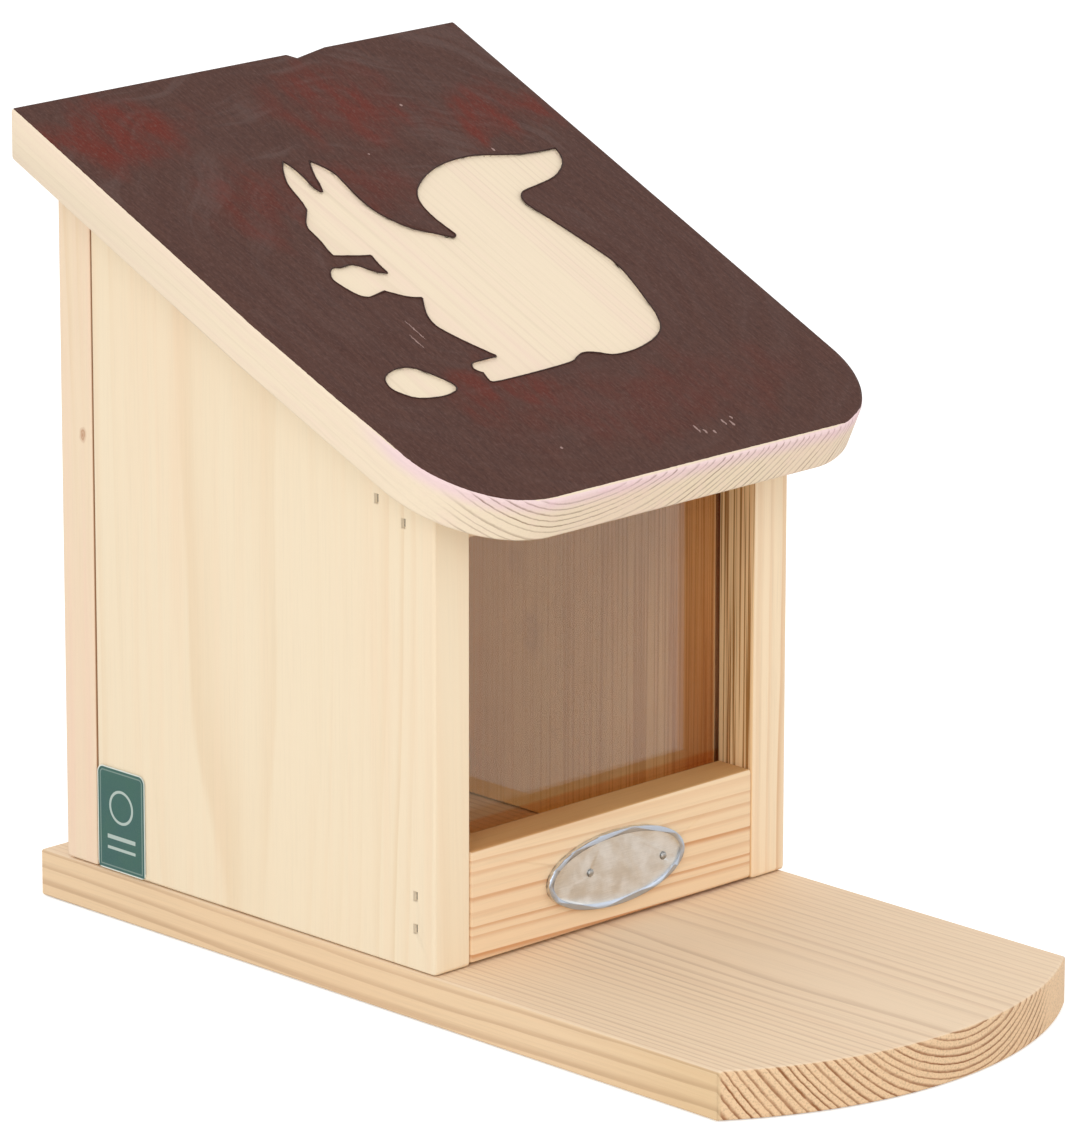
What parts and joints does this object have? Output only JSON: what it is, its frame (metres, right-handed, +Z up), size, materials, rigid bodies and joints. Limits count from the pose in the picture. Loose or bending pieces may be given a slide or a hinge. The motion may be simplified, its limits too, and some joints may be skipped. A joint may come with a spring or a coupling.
{
  "type": "squirrel feeder box",
  "caption": "Sloping wooden feeder house on a long shelf with a curved front, with a clear window behind a low sill and a painted lid that a squirrel lifts.",
  "frame": {"origin": "on the underside of the base board, under the middle of its length and width", "axes": "+X to the right seen from the front, +Y to the hinged back, +Z up"},
  "size_m": [0.1538, 0.2636, 0.2121],
  "materials": {
    "bare_pine": "bare sawn and planed pine",
    "painted_pine": "dark brown brushed paint on the top face, bare pine elsewhere",
    "clear_pane": "clear acrylic sheet",
    "plaque_metal": "satin, with a raised rim",
    "label": "plain printed film",
    "steel": "zinc-plated"
  },
  "bodies": {
    "house": {"base_board": "bare_pine", "left_side_panel": "bare_pine", "right_side_panel": "bare_pine", "back_panel": "bare_pine", "front_sill": "bare_pine", "top_rail": "bare_pine", "window_pane": "clear_pane", "blank_plaque": "plaque_metal", "side_label": "label", "plaque_pin_left": "steel", "plaque_pin_right": "steel", "rail_brad_left_front": "steel", "rail_brad_left_rear": "steel", "sill_brad_left_lower": "steel", "sill_brad_left_upper": "steel", "back_brad_left_1": "steel", "back_brad_left_2": "steel", "back_brad_left_3": "steel", "base_brad_side_front_left": "steel", "base_brad_side_rear_left": "steel", "base_brad_sill_left": "steel", "base_brad_back_left": "steel", "rail_brad_right_front": "steel", "rail_brad_right_rear": "steel", "sill_brad_right_lower": "steel", "sill_brad_right_upper": "steel", "back_brad_right_1": "steel", "back_brad_right_2": "steel", "back_brad_right_3": "steel", "base_brad_side_front_right": "steel", "base_brad_side_rear_right": "steel", "base_brad_sill_right": "steel", "base_brad_back_right": "steel", "hinge_pin_left": "steel", "hinge_pin_right": "steel", "house_hinge_leaf_left": "steel", "house_hinge_leaf_right": "steel", "house_hinge_screw_left_1": "steel", "house_hinge_screw_left_2": "steel", "house_hinge_screw_right_1": "steel", "house_hinge_screw_right_2": "steel"},
    "lid": {"roof_board": "painted_pine", "lid_hinge_leaf_left": "steel", "lid_hinge_leaf_right": "steel", "lid_hinge_screw_left_1": "steel", "lid_hinge_screw_left_2": "steel", "lid_hinge_screw_right_1": "steel", "lid_hinge_screw_right_2": "steel"}
  },
  "joints": [
    {"name": "lid_hinge", "type": "hinge", "parent": "house", "child": "lid", "pos_m": [0, 0.12355, 0.19891], "axis": [-1, 0, 0], "range_deg": [0, 110]}
  ]
}
